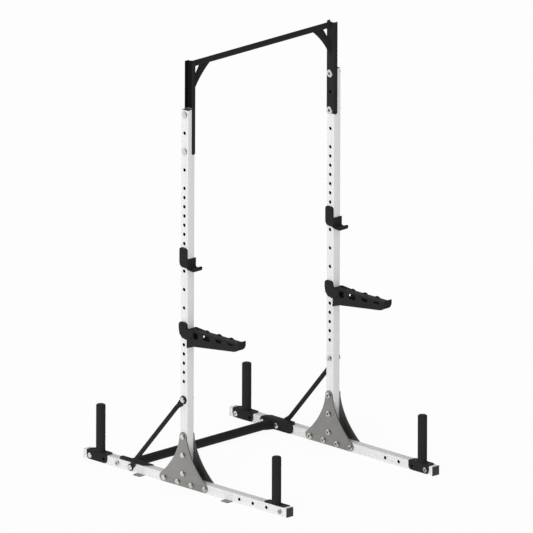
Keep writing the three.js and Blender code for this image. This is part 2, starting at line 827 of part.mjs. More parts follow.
// Spotter arm: a folded channel with windowed sides, a strap, a back plate and a lipped nose
function armSideOutline(z) {
  const front = uprightFront - clearance;
  const noseFace = front - armReach;
  const shape = new THREE.Shape();
  shape.moveTo(front, z - armTopDrop);
  shape.lineTo(front, z - armBackDrop);
  shape.lineTo(front - armKneeReach, z - armKneeDrop);
  shape.lineTo(front - armToeReach, z - armToeDrop);
  shape.quadraticCurveTo(
    front - armToeTurnReach, z - armToeTurnDrop, noseFace, z - armNoseDrop,
  );
  shape.lineTo(noseFace, z - armTopDrop);
  shape.closePath();
  return shape;
}

// What the far wall lacks at its toe, where the nose plate's low corner is round
function armFarToe(z) {
  const front = uprightFront - clearance;
  const beyond = front - armReach - overrun;
  const shape = new THREE.Shape();
  shape.moveTo(beyond, z - armBackDrop);
  shape.lineTo(front - armToeReach, z - armBackDrop);
  shape.lineTo(front - armToeReach, z - armToeDrop);
  shape.quadraticCurveTo(
    front - armToeTurnReach, z - armNoseDrop, front - armReach + armThickness, z - armFarToeDrop,
  );
  shape.lineTo(beyond, z - armFarToeDrop);
  shape.closePath();
  return shape;
}

function armStrapOutline(z) {
  const back = uprightSetback + armStrapHalf;
  const nose = uprightSetback - armStrapHalf;
  const front = uprightFront - clearance;
  const shape = new THREE.Shape();
  shape.moveTo(front - armStrapReach, z - armTopDrop);
  shape.lineTo(nose - armThroatRadius, z - armTopDrop);
  shape.quadraticCurveTo(nose, z - armTopDrop, nose, z - armTopDrop + armThroatRadius);
  shape.lineTo(nose, z + armStrapTop - armStrapTopRadius);
  shape.quadraticCurveTo(nose, z + armStrapTop, nose + armStrapTopRadius, z + armStrapTop);
  shape.lineTo(back - armStrapTopRadius, z + armStrapTop);
  shape.quadraticCurveTo(back, z + armStrapTop, back, z + armStrapTop - armStrapTopRadius);
  shape.lineTo(back, z - armTopDrop);
  shape.quadraticCurveTo(back, z - armHeelDrop, front, z - armHeelDrop);
  shape.quadraticCurveTo(
    front - armStrapReach, z - armHeelDrop, front - armStrapReach, z - armTopDrop,
  );
  return shape;
}

function armWindow(y, top, width, depth) {
  const radius = Math.min(armWindowRadius, depth - overrun);
  return roundedRectangle(
    y - width / 2, top - depth, y + width / 2, top, [radius, radius, 0, 0],
  );
}

function armTab(y, base) {
  const half = armTabLength / 2;
  const shape = new THREE.Shape();
  shape.moveTo(y - half, base);
  shape.quadraticCurveTo(y, base + 2 * armTabRise, y + half, base);
  shape.lineTo(y + half, base - armThickness / 2);
  shape.lineTo(y - half, base - armThickness / 2);
  return shape;
}

// The longer hump beside the upright, which runs out along the arm's far edge
function armHump(front, base) {
  const shape = new THREE.Shape();
  shape.moveTo(front, base);
  shape.quadraticCurveTo(front - armHumpPeak / 2, base + armHumpRise,
    front - armHumpPeak, base + armHumpRise);
  shape.lineTo(front - armHumpEnd, base);
  shape.lineTo(front - armHumpEnd, base - armThickness / 2);
  shape.lineTo(front, base - armThickness / 2);
  return shape;
}

function spotterArm(centreX) {
  const z = boreHeight(armStep);
  const outer = centreX - tube / 2 - clearance - armThickness;
  const far = centreX + tube / 2;
  const front = uprightFront - clearance;
  const half = armThickness / 2;
  const top = z - armTopDrop;
  const fold = sheetOutline([
    [outer + half, z - armBackDrop],
    [outer + half, top - half],
    [far - half, top - half],
    [far - half, z - armBackDrop],
  ], armThickness, [armBend, armBend]);
  const channel = alongY(fold, front - armReach, front)
    .intersect(alongX(armSideOutline(z), outer - overrun, far + overrun))
    .subtract(alongX(armFarToe(z), far - armThickness - overrun, far + overrun));
  const windowTop = top - armThickness - armBend;
  const windows = armWindowReaches.map((reach, index) => alongX(
    armWindow(front - reach, windowTop, armWindowWidths[index], armWindowDepths[index]),
    outer - overrun, far + overrun,
  ));
  const strap = alongX(armStrapOutline(z), outer - armStrapThickness, outer + armThickness);
  const backPlate = box(
    [outer, front - armThickness, z - armBackDrop],
    [far, front, top - half],
  );
  const nosePlate = alongY(roundedRectangle(
    outer, z - armNoseDrop, far, top + armLip, [0, armLipCorner, 0, 0],
  ), front - armReach, front - armReach + armThickness);
  const tabs = armTabReaches.map((reach) => alongX(
    armTab(front - reach, top), far - armThickness, far,
  ));
  const hump = alongX(armHump(front, top), far - armThickness, far);
  const pinHole = rodX(
    pinDiameter + 2 * pinBoreGap, outer - armStrapThickness - overrun,
    outer + armThickness + overrun, uprightSetback, z, washerFacets,
  );
  return joined(
    cut(joined(channel, backPlate, nosePlate, hump, ...tabs), ...windows),
    strap,
  ).subtract(pinHole);
}

// The two sides of the rack
const sides = [
  { side: 'left', x: leftX, outward: -1 },
  { side: 'right', x: rightX, outward: 1 },
];

for (const { side, x, outward } of sides) {
  const inward = -outward;
  const outerFace = x + outward * tube / 2;
  const innerFace = x + inward * tube / 2;
  const span = (...faces) => [Math.min(...faces), Math.max(...faces)];

  add(`${side}_runner`, runner(x, outward), whitePaint);
  add(`${side}_upright`, upright(x), whitePaint);
  add(`${side}_front_cap`, runnerCap(x, true), blackPlastic);
  add(`${side}_rear_cap`, runnerCap(x, false), blackPlastic);

  const outerPlate = span(outerFace, outerFace + outward * gussetThickness);
  const innerPlate = span(innerFace, innerFace + inward * gussetThickness);
  add(`${side}_outer_gusset`, gusset(...outerPlate), rawSteel);
  add(`${side}_inner_gusset`, gusset(...innerPlate), rawSteel);
  gussetBoltPlaces.forEach(([y, z], index) => {
    const grip = span(...outerPlate, ...innerPlate);
    add(`${side}_gusset_bolt_${index + 1}`, bolt(...grip, y, z, -1), zincPlate);
  });

  add(`${side}_cross_bracket`, crossBracket(x, inward), blackPaint);
  add(`${side}_brace`, brace(x, outward), blackPaint);
  const bracketFace = innerFace + inward * crossBracketThickness;
  const braceFace = outerFace + outward * braceFlatThickness;
  const lowGrip = span(bracketFace, braceFace);
  const tieGrip = span(bracketFace, outerFace);
  const highGrip = span(innerFace, braceFace);
  add(`${side}_brace_bolt_low`, bolt(...lowGrip, ...braceLow, -1, smallHead), zincPlate);
  add(`${side}_brace_bolt_high`, bolt(...highGrip, ...braceHigh, outward), zincPlate);
  const tieY = Math.max(...crossBoltSteps) * holePitch;
  add(`${side}_cross_bolt`, bolt(...tieGrip, tieY, runnerMid, -1), zincPlate);

  add(`${side}_mast`, mast(x, inward), blackPaint);
  const mastEnds = [Math.min(...mastHoleSteps), Math.max(...mastHoleSteps)];
  mastEnds.forEach((step, index) => {
    const grip = span(outerFace, innerFace + inward * mastWall);
    const solid = bolt(...grip, uprightSetback, boreHeight(step), -1, flatHead);
    add(`${side}_mast_bolt_${index + 1}`, solid, zincPlate);
  });

  add(`${side}_j_hook`, jHook(x), blackPaint);
  add(`${side}_j_hook_pin`, hitchPin(x, hookStep, hookThickness + hookLiner), blackPaint);
  add(`${side}_spotter_arm`, spotterArm(x), blackPaint);
  add(`${side}_spotter_pin`, hitchPin(x, armStep, armThickness + armStrapThickness), blackPaint);
}

// Plate pegs: which side of its runner each bracket's flange hangs down
const pegs = [
  { name: 'left_front_peg', x: leftX, flangeSide: 1, end: -1 },
  { name: 'left_rear_peg', x: leftX, flangeSide: -1, end: 1 },
  { name: 'right_front_peg', x: rightX, flangeSide: -1, end: -1 },
  { name: 'right_rear_peg', x: rightX, flangeSide: -1, end: 1 },
];

for (const { name, x, flangeSide, end } of pegs) {
  const faces = [
    x + flangeSide * (tube / 2 + pegBracketThickness),
    x - flangeSide * tube / 2,
  ];
  const y = end * pegBoltStep * holePitch;
  add(name, peg(x, flangeSide, end), blackPaint);
  const solid = bolt(Math.min(...faces), Math.max(...faces), y, runnerMid, -1, smallHead);
  add(`${name}_bolt`, solid, zincPlate);
}

add('crossmember_tube', crossTubeSolid(), blackPaint);
add('pull_up_bar', pullUpBar(), blackPaint);

export default rack;
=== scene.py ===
import json
import math
from collections import namedtuple

import bmesh
import bpy
from mathutils import Matrix, Vector


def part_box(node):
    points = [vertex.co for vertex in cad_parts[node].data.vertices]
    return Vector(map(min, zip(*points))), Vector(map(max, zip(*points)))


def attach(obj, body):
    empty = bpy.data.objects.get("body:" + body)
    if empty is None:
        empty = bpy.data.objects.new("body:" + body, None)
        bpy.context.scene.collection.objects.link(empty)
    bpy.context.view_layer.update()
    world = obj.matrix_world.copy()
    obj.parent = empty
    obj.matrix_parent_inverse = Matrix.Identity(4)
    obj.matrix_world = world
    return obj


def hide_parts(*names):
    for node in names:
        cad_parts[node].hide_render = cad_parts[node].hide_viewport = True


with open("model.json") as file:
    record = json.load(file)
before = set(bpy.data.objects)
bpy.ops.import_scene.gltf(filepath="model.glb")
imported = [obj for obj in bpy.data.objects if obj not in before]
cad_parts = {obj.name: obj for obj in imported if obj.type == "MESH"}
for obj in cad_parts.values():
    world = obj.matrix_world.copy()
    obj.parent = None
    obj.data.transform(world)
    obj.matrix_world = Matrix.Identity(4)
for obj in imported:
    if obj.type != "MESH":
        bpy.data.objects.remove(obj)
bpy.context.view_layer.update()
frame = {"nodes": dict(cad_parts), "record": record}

NODES = frame["nodes"]
BODY_OF = {
    node: body
    for body, members in frame["record"]["behaviour"]["bodies"].items()
    for node in members
}
MM = 0.001
SIDES = ("left", "right")
OUTWARD = {"left": -1, "right": 1}

# ---- Sizes that the frame's boxes don't give
# Square tubes, and their bores on one pitch
WALL = 3 * MM
TUBE_CORNER = 4 * MM
TUBE_INSIDE_CORNER = 1.2 * MM
TUBE_EDGE = 0.4 * MM
BORE = 19 * MM
PITCH = 50.8 * MM
FIRST_BORE = 25.4 * MM
RUNNER_STEPS = (1, 3, 8, 10, 12, 14)
UPRIGHT_STEPS = (
    0, 2, 4, 8, 10, 11, 12, 13, 14, 15, 16, 18, 20, 22, 23, 24,
    25, 26, 27, 28, 29, 30, 31, 33, 35, 37, 39,
)
# The uncoated skin inside a tube and the sleeves inside its bores, darkened with painted shade
DARK_SKIN_GAP = 0.05 * MM
DARK_SKIN = 0.4 * MM
SLEEVE_GAP = 0.02 * MM
SLEEVE_SKIN = 0.15 * MM
SLEEVE_SETBACK = 0.4 * MM
# Rounded edges, points and faces that are merged, and weld beads
EDGE = 0.8 * MM
FINE_EDGE = 0.6 * MM
MERGED = 0.01 * MM
CAD_MERGED = 0.002 * MM
CAD_FLAT = math.radians(0.5)
WELD_RADIUS = 2.2 * MM
WELD_INSET = 0.6 * MM
WELD_PUDDLE = 2.2 * MM
WELD_DIP = 0.82
WELD_FACETS = 8
# A bead's tangent is upright from this share of its length on
WELD_UPRIGHT = 0.9
# Facets of round things, fewer where they are small or hardly seen, and steps of corners
ROUND = 64
TURNED_FACETS = 48
DRILL_FACETS = 32
SMALL_FACETS = 24
CORNER_STEPS = 6
PANEL_STEPS = 8


# ---- Mesh helpers
def add_object(name, data):
    obj = bpy.data.objects.new(name, data)
    bpy.context.scene.collection.objects.link(obj)
    return obj


def from_bmesh(name, bm):
    mesh = bpy.data.meshes.new(name)
    bmesh.ops.recalc_face_normals(bm, faces=bm.faces)
    bm.to_mesh(mesh)
    bm.free()
    return add_object(name, mesh)


def evaluated_mesh(obj):
    graph = bpy.context.evaluated_depsgraph_get()
    return bpy.data.meshes.new_from_object(obj.evaluated_get(graph))


def baked(obj):
    """Applies an object's modifiers."""
    mesh = evaluated_mesh(obj)
    obj.modifiers.clear()
    obj.data = mesh
    return obj


def combine(obj, other, operation):
    cut = obj.modifiers.new("cut", "BOOLEAN")
    cut.operation = operation
    cut.solver = "MANIFOLD"
    cut.object = other
    baked(obj)
    bpy.data.objects.remove(other)
    return obj


def shade(obj, angle):
    """Smooth shading, but for edges that turn by more than an angle in degrees."""
    for face in obj.data.polygons:
        face.use_smooth = True
    obj.data.set_sharp_from_angle(angle=math.radians(angle))
    return obj


def rounded_edges(obj, width, angle=50, segments=2):
    bevel = obj.modifiers.new("bevel", "BEVEL")
    bevel.width = width
    bevel.segments = segments
    bevel.limit_method = "ANGLE"
    bevel.angle_limit = math.radians(angle)
    return shade(baked(obj), angle)


def joined(name, objects):
    bm = bmesh.new()
    for obj in objects:
        mesh = obj.data.copy()
        mesh.transform(obj.matrix_world)
        bm.from_mesh(mesh)
        bpy.data.meshes.remove(mesh)
    result = bpy.data.meshes.new(name)
    bm.to_mesh(result)
    bm.free()
    for obj in objects:
        bpy.data.objects.remove(obj)
    return add_object(name, result)


def loft(name, rings, close=True):
    """A skin over rings of equally many points, closed at both ends or else back to the start."""
    bm = bmesh.new()
    loops = [[bm.verts.new(point) for point in ring] for ring in rings]
    around = len(rings[0])
    pairs = list(zip(loops, loops[1:]))
    if not close:
        pairs.append((loops[0], loops[-1]))
    for lower, upper in pairs:
        for side in range(around):
            after = (side + 1) % around
            bm.faces.new((lower[side], lower[after], upper[after], upper[side]))
    if close:
        bm.faces.new(loops[0])
        bm.faces.new(loops[-1])
    return from_bmesh(name, bm)


AXES = {
    "X": lambda along, u, v: Vector((along, u, v)),
    "Y": lambda along, u, v: Vector((u, along, v)),
    "Z": lambda along, u, v: Vector((u, v, along)),
}


def circle(centre, radius, facets):
    return [
        (centre[0] + radius * math.cos(2 * math.pi * k / facets),
         centre[1] + radius * math.sin(2 * math.pi * k / facets))
        for k in range(facets)
    ]


def arc(centre, radius, start, end, steps):
    return [
        (centre[0] + radius * math.cos(start + (end - start) * k / steps),
         centre[1] + radius * math.sin(start + (end - start) * k / steps))
        for k in range(steps + 1)
    ]


def bezier(points, steps):
    """The points of a cubic curve between its two ends, which are left out."""
    a, b, c, d = (Vector(point) for point in points)
    result = []
    for k in range(1, steps):
        t = k / steps
        s = 1 - t
        result.append(tuple(s**3 * a + 3 * s * s * t * b + 3 * s * t * t * c + t**3 * d))
    return result


def lathe(name, profile, axis, centre=(0, 0), facets=TURNED_FACETS):
    """Turns (radius, place along the axis) points about an axis through centre (u, v)."""
    place = AXES[axis]
    bm = bmesh.new()
    loops = []
    for radius, along in profile:
        ring = circle(centre, radius, facets) if radius > 0 else [centre]
        loops.append([bm.verts.new(place(along, u, v)) for u, v in ring])
    pairs = list(zip(loops, loops[1:]))
    if profile[0][0] > 0:
        pairs.append((loops[-1], loops[0]))
    for lower, upper in pairs:
        for k in range(facets):
            after = (k + 1) % facets
            if len(lower) == 1:
                bm.faces.new((lower[0], upper[after], upper[k]))
            elif len(upper) == 1:
                bm.faces.new((lower[k], lower[after], upper[0]))
            else:
                bm.faces.new((lower[k], lower[after], upper[after], upper[k]))
    return from_bmesh(name, bm)


def rod(name, diameter, low, high, axis, centre=(0, 0), facets=DRILL_FACETS):
    radius = diameter / 2
    return lathe(name, [(0, low), (radius, low), (radius, high), (0, high)], axis, centre, facets)


def square_ring(axis, along, middle, half, radius):
    """Points round a square with rounded corners, across an axis."""
    points = []
    for quarter, (side_u, side_v) in enumerate(((1, 1), (-1, 1), (-1, -1), (1, -1))):
        for step in range(CORNER_STEPS + 1):
            turn = (quarter + step / CORNER_STEPS) * math.pi / 2
            points.append(AXES[axis](
                along,
                middle[0] + side_u * (half - radius) + radius * math.cos(turn),
                middle[1] + side_v * (half - radius) + radius * math.sin(turn),
            ))
    return points


def square_tube(name, low, high, axis, inset=0.0, wall=WALL, corner=TUBE_CORNER):
    """A square tube along an axis, inset from the box from low to high."""
    index = "XYZ".index(axis)
    cross = [k for k in range(3) if k != index]
    middle = tuple((low[k] + high[k]) / 2 for k in cross)
    half = (high[cross[0]] - low[cross[0]]) / 2 - inset
    ends = (low[index], high[index])
    rings = [square_ring(axis, along, middle, half, corner) for along in ends]
    rings += [
        square_ring(axis, along, middle, half - wall, TUBE_INSIDE_CORNER) for along in ends[::-1]
    ]
    return loft(name, rings, close=False)


def drilled(obj, places, low, high):
    """Bores along X at (y, z) places."""
    bits = [rod("bit", BORE, low, high, "X", place) for place in places]
    return combine(obj, joined("bits", bits), "DIFFERENCE")


def thin_inner_skin(name, low, high, axis):
    """A thin skin on the inside of a square tube."""
    return square_tube(name, low, high, axis, WALL + DARK_SKIN_GAP, DARK_SKIN, TUBE_INSIDE_CORNER)


def inside_skin(name, low, high, axis, places):
    """The bare inside of a coated tube and of the bores across it, darkened with painted shade."""
    skin = drilled(thin_inner_skin(name, low, high, axis), places, low.x, high.x)
    outer = BORE / 2 - SLEEVE_GAP
    inner = outer - SLEEVE_SKIN
    sleeves = []
    for place in places:
        for x, depth in ((low.x + SLEEVE_SETBACK, WALL), (high.x - SLEEVE_SETBACK, -WALL)):
            profile = [(outer, x), (outer, x + depth), (inner, x + depth), (inner, x)]
            sleeves.append(lathe("sleeve", profile, "X", place, SMALL_FACETS))
    return shade(joined(name, [skin, *sleeves]), angle=50)


def plate(name, outline, holes, low, high):
    """A flat plate across X with rounded edges, from a (y, z) outline and round holes."""
    curve = bpy.data.curves.new(name, "CURVE")
    curve.dimensions = "2D"
    curve.fill_mode = "BOTH"
    curve.extrude = (high - low) / 2 - EDGE
    curve.bevel_depth = EDGE
    curve.bevel_resolution = 1
    curve.offset = -EDGE
    for ring in (outline, *(circle((y, z), radius, DRILL_FACETS) for y, z, radius in holes)):
        spline = curve.splines.new("POLY")
        spline.points.add(len(ring) - 1)
        for point, (u, v) in zip(spline.points, ring):
            point.co = (u, v, 0, 1)
        spline.use_cyclic_u = True
    flat = add_object(name, curve)
    mesh = evaluated_mesh(flat)
    bpy.data.objects.remove(flat)
    # The curve lies in XY: its u goes to Y, its v to Z and its thickness to X
    mesh.transform(Matrix(((0, 0, 1, (low + high) / 2), (1, 0, 0, 0), (0, 1, 0, 0), (0, 0, 0, 1))))
    bm = bmesh.new()
    bm.from_mesh(mesh)
    bmesh.ops.remove_doubles(bm, verts=bm.verts, dist=MERGED)
    bpy.data.meshes.remove(mesh)
    return shade(from_bmesh(name, bm), angle=50)


def softened(node, *extras, width=EDGE):
    """A copy of a CAD node, with flat faces merged, extra solids joined on and edges rounded."""
    bm = bmesh.new()
    bm.from_mesh(NODES[node].data)
    bmesh.ops.remove_doubles(bm, verts=bm.verts, dist=CAD_MERGED)
    skin = from_bmesh(node + "_skin", bm)
    for extra in extras:
        combine(skin, extra, "UNION")
    bm = bmesh.new()
    bm.from_mesh(skin.data)
    bmesh.ops.dissolve_limit(bm, angle_limit=CAD_FLAT, verts=bm.verts, edges=bm.edges)
    bm.to_mesh(skin.data)
    bm.free()
    return rounded_edges(skin, width)


def upright_panel(name, low, high, radii):
    """A flat panel across Y. Its (x, z) corners have their own radii, from low left round."""
    left_low, right_low, right_high, left_high = radii
    outline = []
    for x, z, side_x, side_z, radius, quarter in (
        (high.x, high.z, 1, 1, right_high, 0), (low.x, high.z, -1, 1, left_high, 1),
        (low.x, low.z, -1, -1, left_low, 2), (high.x, low.z, 1, -1, right_low, 3),
    ):
        start = quarter * math.pi / 2
        centre = (x - side_x * radius, z - side_z * radius)
        if radius:
            outline += arc(centre, radius, start, start + math.pi / 2, PANEL_STEPS)
        else:
            outline.append(centre)
    return loft(name, [[Vector((x, y, z)) for x, z in outline] for y in (low.y, high.y)])


def bead(name, path, radius, closed=True):
    """A weld bead: a rippled cord of overlapping puddles along a path."""
    def steps(points):
        return zip(points, [*points[1:], points[0]] if closed else points[1:])

    path = [Vector(point) for point in path]
    points = []
    for start, end in steps(path):
        count = max(1, round((end - start).length / WELD_PUDDLE))
        points += [start.lerp(end, k / count) for k in range(count)]
    if not closed:
        points.append(path[-1])
    ripple = []
    for point, after in steps(points):
        ripple += [(point, radius), (point.lerp(after, 0.5), radius * WELD_DIP)]
    if not closed:
        ripple.append((points[-1], radius))
    round_section = circle((0, 0), 1, WELD_FACETS)
    spine = [point for point, _ in ripple]
    befores = [spine[-1 if closed else 0], *spine[:-1]]
    afters = [*spine[1:], spine[0 if closed else -1]]
    rings = []
    for (point, size), before, after in zip(ripple, befores, afters):
        tangent = (after - before).normalized()
        if abs(tangent.z) < WELD_UPRIGHT:
            side = tangent.cross(Vector((0, 0, 1))).normalized()
        else:
            side = tangent.orthogonal().normalized()
        up = tangent.cross(side)
        rings.append([point + size * (u * side + v * up) for u, v in round_section])
    return shade(loft(name, rings, close=not closed), angle=60)


# ---- Materials
# Most values of a noise texture lie between these
NOISE_RANGE = (0.3, 0.7)


def new_material(name):
    material = bpy.data.materials.new(name)
    material.use_nodes = True
    nodes = material.node_tree.nodes
    return material, nodes, material.node_tree.links, nodes["Principled BSDF"]


def object_coordinates(nodes, links, stretch=(1, 1, 1)):
    source = nodes.new("ShaderNodeTexCoord")
    mapping = nodes.new("ShaderNodeMapping")
    mapping.inputs["Scale"].default_value = stretch
    links.new(source.outputs["Object"], mapping.inputs["Vector"])
    return mapping.outputs["Vector"]


def noise(nodes, links, coordinates, scale, detail, roughness=0.5):
    texture = nodes.new("ShaderNodeTexNoise")
    texture.inputs["Scale"].default_value = scale
    texture.inputs["Detail"].default_value = detail
    texture.inputs["Roughness"].default_value = roughness
    links.new(coordinates, texture.inputs["Vector"])
    return texture.outputs["Fac"]


def ramp(nodes, links, value, start, end, low, high):
    """A value that goes from low to high while another goes from start to end."""
    node = nodes.new("ShaderNodeMapRange")
    sockets = ("From Min", "From Max", "To Min", "To Max")
    for name, number in zip(sockets, (start, end, low, high)):
        node.inputs[name].default_value = number
    links.new(value, node.inputs["Value"])
    return node.outputs["Result"]


def vary_colour(nodes, links, shader, value, light, dark):
    """Lets a noise value choose the base colour, between a light and a dark one."""
    mix = nodes.new("ShaderNodeMix")
    mix.data_type = "RGBA"
    mix.inputs["A"].default_value = (*light, 1)
    mix.inputs["B"].default_value = (*dark, 1)
    links.new(ramp(nodes, links, value, *NOISE_RANGE, 0, 1), mix.inputs["Factor"])
    links.new(mix.outputs["Result"], shader.inputs["Base Color"])


def vary_roughness(nodes, links, shader, value, low, high):
    links.new(ramp(nodes, links, value, *NOISE_RANGE, low, high), shader.inputs["Roughness"])


def add_bump(nodes, links, shader, height, strength, distance):
    bump = nodes.new("ShaderNodeBump")
    bump.inputs["Strength"].default_value = strength
    bump.inputs["Distance"].default_value = distance
    links.new(height, bump.inputs["Height"])
    links.new(bump.outputs["Normal"], shader.inputs["Normal"])


def powder_coat(name, light, dark, roughness, specular):
    """Baked powder: an even colour with a fine orange-peel surface."""
    material, nodes, links, shader = new_material(name)
    coordinates = object_coordinates(nodes, links)
    broad = noise(nodes, links, coordinates, scale=7, detail=3)
    fine = noise(nodes, links, coordinates, scale=420, detail=2)
    peel = noise(nodes, links, coordinates, scale=900, detail=1)
    vary_colour(nodes, links, shader, broad, light, dark)
    vary_roughness(nodes, links, shader, fine, roughness - 0.04, roughness + 0.05)
    shader.inputs["Specular IOR Level"].default_value = specular
    add_bump(nodes, links, shader, peel, strength=0.12, distance=0.12 * MM)
    return material


def rolled_steel(name, light, dark, metallic):
    """Flat plate with rolling marks, faint mottling and a dull sheen."""
    material, nodes, links, shader = new_material(name)
    plain = object_coordinates(nodes, links)
    lines = object_coordinates(nodes, links, stretch=(1, 60, 3))
    mottle = noise(nodes, links, plain, scale=22, detail=5, roughness=0.6)
    scratch = noise(nodes, links, lines, scale=30, detail=3, roughness=0.6)
    vary_colour(nodes, links, shader, mottle, light, dark)
    vary_roughness(nodes, links, shader, scratch, 0.42, 0.58)
    shader.inputs["Metallic"].default_value = metallic
    add_bump(nodes, links, shader, scratch, strength=0.15, distance=0.1 * MM)
    return material


def plated(name, light, dark, roughness):
    """Zinc plating: bright, slightly warm and finely clouded."""
    material, nodes, links, shader = new_material(name)
    coordinates = object_coordinates(nodes, links)
    cloud = noise(nodes, links, coordinates, scale=130, detail=4, roughness=0.6)
    grain = noise(nodes, links, coordinates, scale=900, detail=2)
    vary_colour(nodes, links, shader, cloud, light, dark)
    vary_roughness(nodes, links, shader, cloud, roughness - 0.06, roughness + 0.1)
    shader.inputs["Metallic"].default_value = 1.0
    add_bump(nodes, links, shader, grain, strength=0.1, distance=0.05 * MM)
    return material


def moulded_plastic(name, light, dark):
    """Plastic from a spark-eroded mould: nearly even, with a fine grain."""
    material, nodes, links, shader = new_material(name)
    coordinates = object_coordinates(nodes, links)
    grain = noise(nodes, links, coordinates, scale=650, detail=3)
    broad = noise(nodes, links, coordinates, scale=40, detail=3)
    vary_colour(nodes, links, shader, broad, light, dark)
    vary_roughness(nodes, links, shader, grain, 0.5, 0.66)
    shader.inputs["Specular IOR Level"].default_value = 0.4
    add_bump(nodes, links, shader, grain, strength=0.3, distance=0.15 * MM)
    return material


WHITE = powder_coat(
    "white_powder_coat", (0.86, 0.86, 0.865), (0.84, 0.84, 0.845),
    roughness=0.42, specular=0.3,
)
BLACK = powder_coat(
    "black_powder_coat", (0.027, 0.027, 0.027), (0.024, 0.024, 0.024),
    roughness=0.6, specular=0.04,
)
STEEL = rolled_steel("rolled_steel", (0.365, 0.36, 0.348), (0.33, 0.325, 0.313), metallic=0.8)
# Painted shade: darker materials for what lies in shade, the tubes' bare insides and open tops,
# the gussets' sides towards the tubes, the socket heads' floors and the insides of the masts
SCALE_AND_SHADE = rolled_steel("mill_scale_and_painted_shade", (0.02, 0.019, 0.018), (0.012, 0.0115, 0.011), metallic=0.2)
TUBE_MOUTH = rolled_steel("tube_mouth_painted_shade", (0.3, 0.297, 0.29), (0.24, 0.237, 0.23), metallic=0.2)
TUBE_SIDE = rolled_steel("gusset_painted_shade", (0.2, 0.197, 0.19), (0.18, 0.177, 0.17), metallic=0.8)
SOCKET = rolled_steel("socket_painted_shade", (0.19, 0.17, 0.135), (0.14, 0.125, 0.1), metallic=0.2)
SHADED = powder_coat(
    "mast_painted_shade", (0.012, 0.012, 0.012), (0.01, 0.01, 0.01),
    roughness=0.6, specular=0.04,
)
ZINC = plated("zinc_plate", (0.78, 0.76, 0.71), (0.66, 0.64, 0.59), roughness=0.24)
PLASTIC = moulded_plastic("black_plastic", (0.055, 0.055, 0.056), (0.045, 0.045, 0.046))


def dress(piece, node, material):
    """Gives a piece its finish and its body, and hides the CAD node that it stands for."""
    piece.data.materials.clear()
    piece.data.materials.append(material)
    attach(piece, BODY_OF[node])
    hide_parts(node)


def bore_height(upright_low, step):
    return upright_low.z + FIRST_BORE + step * PITCH


def middle_yz(low, high):
    return (low.y + high.y) / 2, (low.z + high.z) / 2


# ---- Runners, uprights and caps
TUBE_MOUTH_DEPTH = 15 * MM
ANCHOR_THICKNESS = 5 * MM
ANCHOR_BORE = 18 * MM
ANCHOR_WIDTH = 50.8 * MM
ANCHOR_OFFSET = 330.2 * MM
ANCHOR_CORNER = 6 * MM
# An end cap's rings in mm, from the plug's end to the dish in the face: depth behind the face
# (None is the plug's whole length), inset from the tube's sides and corner radius
CAP_RINGS = (
    (None, 4.1, 1.5), (1.5, 3.6, 1.5), (1.5, 0, 1.2), (0.4, 0, 1.2), (0.1, 0.3, 1.2),
    (0, 0.8, 1.2), (0, 4.6, 2.4), (0.9, 5.4, 2.0), (0.9, 12, 1.5),
)


def runner(side):
    node = f"{side}_runner"
    low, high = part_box(node)
    # The runner's box takes in its anchor tabs: the tube itself is as wide as the upright
    upright_low, upright_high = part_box(f"{side}_upright")
    tube_low = Vector((upright_low.x, low.y, low.z))
    tube_high = Vector((upright_high.x, high.y, high.z))
    height = (low.z + high.z) / 2
    tube = square_tube(node + "_tube", tube_low, tube_high, "Y")
    places = [(sign * step * PITCH, height) for step in RUNNER_STEPS for sign in (-1, 1)]
    drilled(tube, places, tube_low.x - WALL, tube_high.x + WALL)
    dress(rounded_edges(tube, TUBE_EDGE), node, WHITE)
    # The bare inside, darkened with painted shade
    dress(inside_skin(node + "_inside", tube_low, tube_high, "Y", places), node, SCALE_AND_SHADE)
    wall, tip = (tube_low.x, low.x) if OUTWARD[side] < 0 else (tube_high.x, high.x)
    anchor_tab(f"{side}_front_anchor", node, wall, tip, -ANCHOR_OFFSET)
    anchor_tab(f"{side}_rear_anchor", node, wall, tip, ANCHOR_OFFSET)


def anchor_tab(name, node, wall, tip, middle):
    """A drilled tab on the floor, welded to the runner's wall and rounded at its tip."""
    half = ANCHOR_WIDTH / 2
    outward = math.copysign(1, tip - wall)
    turns = [k * math.pi / (2 * CORNER_STEPS) for k in range(CORNER_STEPS + 1)]
    outline = [(wall, middle + half)]
    for across, corner_turns in ((1, turns), (-1, turns[::-1])):
        x = tip - outward * ANCHOR_CORNER
        y = middle + across * half - across * ANCHOR_CORNER
        outline += [
            (x + outward * ANCHOR_CORNER * math.sin(turn),
             y + across * ANCHOR_CORNER * math.cos(turn))
            for turn in corner_turns
        ]
    outline.append((wall, middle - half))
    tab = loft(name, [[Vector((x, y, z)) for x, y in outline] for z in (0, ANCHOR_THICKNESS)])
    centre = ((wall + tip) / 2, middle)
    hole = rod("bit", ANCHOR_BORE, -ANCHOR_THICKNESS, 2 * ANCHOR_THICKNESS, "Z", centre)
    combine(tab, hole, "DIFFERENCE")
    dress(rounded_edges(tab, FINE_EDGE), node, STEEL)
    reach = half - EDGE
    path = [(wall, middle + reach, ANCHOR_THICKNESS), (wall, middle - reach, ANCHOR_THICKNESS)]
    dress(bead(name + "_weld", path, WELD_RADIUS, closed=False), node, WHITE)


def upright(side):
    node = f"{side}_upright"
    low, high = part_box(node)
    tube = square_tube(node + "_tube", low, high, "Z")
    middle = (low.y + high.y) / 2
    places = [(middle, bore_height(low, step)) for step in UPRIGHT_STEPS]
    drilled(tube, places, low.x - WALL, high.x + WALL)
    dress(rounded_edges(tube, TUBE_EDGE), node, WHITE)
    # A grey skin of painted shade in the tube's open top
    mouth_low = Vector((low.x, low.y, high.z - TUBE_MOUTH_DEPTH))
    dress(shade(thin_inner_skin(node + "_mouth", mouth_low, high, "Z"), angle=50), node, TUBE_MOUTH)
    # Below it, the bare inside, darkened with painted shade
    below = Vector((high.x, high.y, mouth_low.z))
    dress(inside_skin(node + "_inside", low, below, "Z", places), node, SCALE_AND_SHADE)


